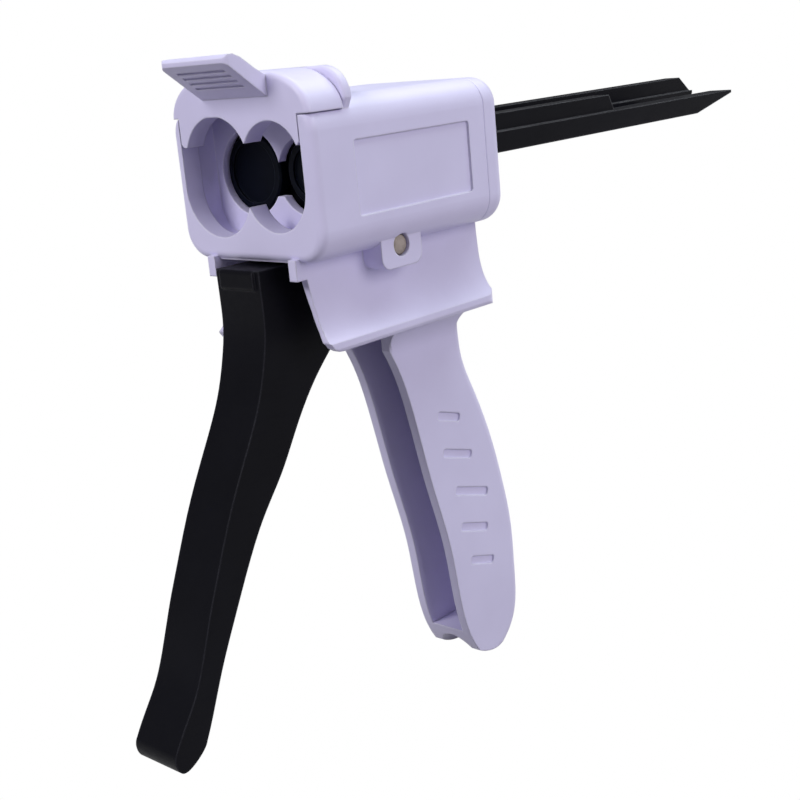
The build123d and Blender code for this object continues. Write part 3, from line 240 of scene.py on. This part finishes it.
# The floor under the tool, plain and pale. It bounces little light, keeps the tool's soft
# shadow near the feet, and turns pure white farther out, so that no horizon shows.
floor_height = -0.1508
floor_size = 6.0
floor_tone = (0.80, 0.80, 0.82, 1.0)
floor_bounce = (0.20, 0.19, 0.22, 1.0)
shadow_centre = (0.0, 0.02, 0.0)
shadow_reach = 0.16
shadow_share = 0.30
full_white = (1.0, 1.0, 1.0, 1.0)
floor_mesh = bpy.data.meshes.new("floor")
floor_shape = bmesh.new()
bmesh.ops.create_grid(floor_shape, x_segments=1, y_segments=1, size=floor_size)
bmesh.ops.translate(floor_shape, verts=floor_shape.verts, vec=(0.0, 0.0, floor_height))
floor_shape.to_mesh(floor_mesh)
floor_shape.free()
floor = bpy.data.objects.new("floor", floor_mesh)
bpy.context.scene.collection.objects.link(floor)
floor_paint = bpy.data.materials.new("pale floor")
floor_paint.use_nodes = True
floor_nodes = floor_paint.node_tree.nodes
floor_links = floor_paint.node_tree.links
floor_shader = floor_nodes["Principled BSDF"]
floor_shader.inputs["Base Color"].default_value = floor_tone
floor_shader.inputs["Roughness"].default_value = 0.9
floor_shader.inputs["Specular IOR Level"].default_value = 0.0
floor_glow = floor_nodes.new("ShaderNodeEmission")
floor_glow.inputs["Color"].default_value = full_white
floor_glow.inputs["Strength"].default_value = 1.0
floor_dark = floor_nodes.new("ShaderNodeBsdfDiffuse")
floor_dark.inputs["Color"].default_value = floor_bounce
floor_ray = floor_nodes.new("ShaderNodeLightPath")
floor_place = floor_nodes.new("ShaderNodeTexCoord")
floor_centre = floor_nodes.new("ShaderNodeVectorMath")
floor_centre.operation = "DISTANCE"
floor_centre.inputs[1].default_value = shadow_centre
floor_links.new(floor_place.outputs["Object"], floor_centre.inputs[0])
floor_fade = floor_nodes.new("ShaderNodeMapRange")
floor_fade.interpolation_type = "SMOOTHSTEP"
floor_fade.inputs["From Min"].default_value = 0.0
floor_fade.inputs["From Max"].default_value = shadow_reach
floor_fade.inputs["To Min"].default_value = 1.0 - shadow_share
floor_fade.inputs["To Max"].default_value = 1.0
floor_links.new(floor_centre.outputs["Value"], floor_fade.inputs["Value"])
floor_seen = floor_nodes.new("ShaderNodeMixShader")
floor_links.new(floor_fade.outputs["Result"], floor_seen.inputs["Fac"])
floor_links.new(floor_shader.outputs["BSDF"], floor_seen.inputs[1])
floor_links.new(floor_glow.outputs["Emission"], floor_seen.inputs[2])
floor_mix = floor_nodes.new("ShaderNodeMixShader")
floor_direct = floor_nodes.new("ShaderNodeMath")
floor_direct.operation = "MAXIMUM"
floor_links.new(floor_ray.outputs["Is Camera Ray"], floor_direct.inputs[0])
floor_links.new(floor_ray.outputs["Is Glossy Ray"], floor_direct.inputs[1])
floor_links.new(floor_direct.outputs["Value"], floor_mix.inputs["Fac"])
floor_links.new(floor_dark.outputs["BSDF"], floor_mix.inputs[1])
floor_links.new(floor_seen.outputs["Shader"], floor_mix.inputs[2])
floor_links.new(floor_mix.outputs["Shader"], floor_nodes["Material Output"].inputs["Surface"])
floor_mesh.materials.append(floor_paint)

# The light: a large soft lamp overhead, two more from the side and the front, and a pale sky.
# Each lamp has its name, place, aim, size in metres, power in watts and colour.
sky_tone = (0.80, 0.80, 0.86, 1.0)
sky_strength = 0.26
lamps = (
    ("top lamp", (0.15, 0.45, 0.90), (0.0, 0.03, -0.02), 0.8, 8.6, (0.88, 1.0, 0.97)),
    ("side lamp", (1.00, 0.15, 0.30), (0.0, 0.05, -0.06), 0.7, 4.6, (1.0, 0.97, 1.0)),
    ("front lamp", (-0.20, -0.80, 0.62), (0.0, 0.0, 0.0), 0.4, 7.0, (0.98, 0.98, 1.0)),
)
for lamp_name, spot, aim, size, power, colour in lamps:
    lamp_data = bpy.data.lights.new(lamp_name, "AREA")
    lamp_data.size = size
    lamp_data.energy = power
    lamp_data.color = colour
    lamp = bpy.data.objects.new(lamp_name, lamp_data)
    lamp.location = spot
    lamp.rotation_euler = (Vector(aim) - Vector(spot)).to_track_quat("-Z", "Y").to_euler()
    bpy.context.scene.collection.objects.link(lamp)
world = bpy.data.worlds.new("pale sky")
bpy.context.scene.world = world
world.use_nodes = True
sky_nodes = world.node_tree.nodes
sky_links = world.node_tree.links
sky = sky_nodes["Background"]
sky.inputs["Color"].default_value = sky_tone
sky.inputs["Strength"].default_value = sky_strength
sky_seen = sky_nodes.new("ShaderNodeBackground")
sky_seen.inputs["Color"].default_value = full_white
sky_ray = sky_nodes.new("ShaderNodeLightPath")
sky_mix = sky_nodes.new("ShaderNodeMixShader")
sky_links.new(sky_ray.outputs["Is Camera Ray"], sky_mix.inputs["Fac"])
sky_links.new(sky.outputs["Background"], sky_mix.inputs[1])
sky_links.new(sky_seen.outputs["Background"], sky_mix.inputs[2])
sky_links.new(sky_mix.outputs["Shader"], sky_nodes["World Output"].inputs["Surface"])

# The camera, fitted to the photograph's straight edges and arcs.
# The matrix holds its axes in columns, with its place in the last one.
view = bpy.data.cameras.new("camera")
view.sensor_width = 36.0
view.lens = 60.297
view.shift_x = 0.0140
view.shift_y = -0.00506
view.clip_start = 0.01
view.clip_end = 20.0
camera = bpy.data.objects.new("camera", view)
camera.matrix_world = Matrix((
    (0.735345, -0.106486, 0.669275, 0.24662),
    (0.671402, 0.248725, -0.698108, -0.21423),
    (-0.092127, 0.962703, 0.254393, 0.02803),
    (0.0, 0.0, 0.0, 1.0),
))
bpy.context.scene.collection.objects.link(camera)
bpy.context.scene.camera = camera
bpy.context.scene.view_settings.view_transform = "Standard"
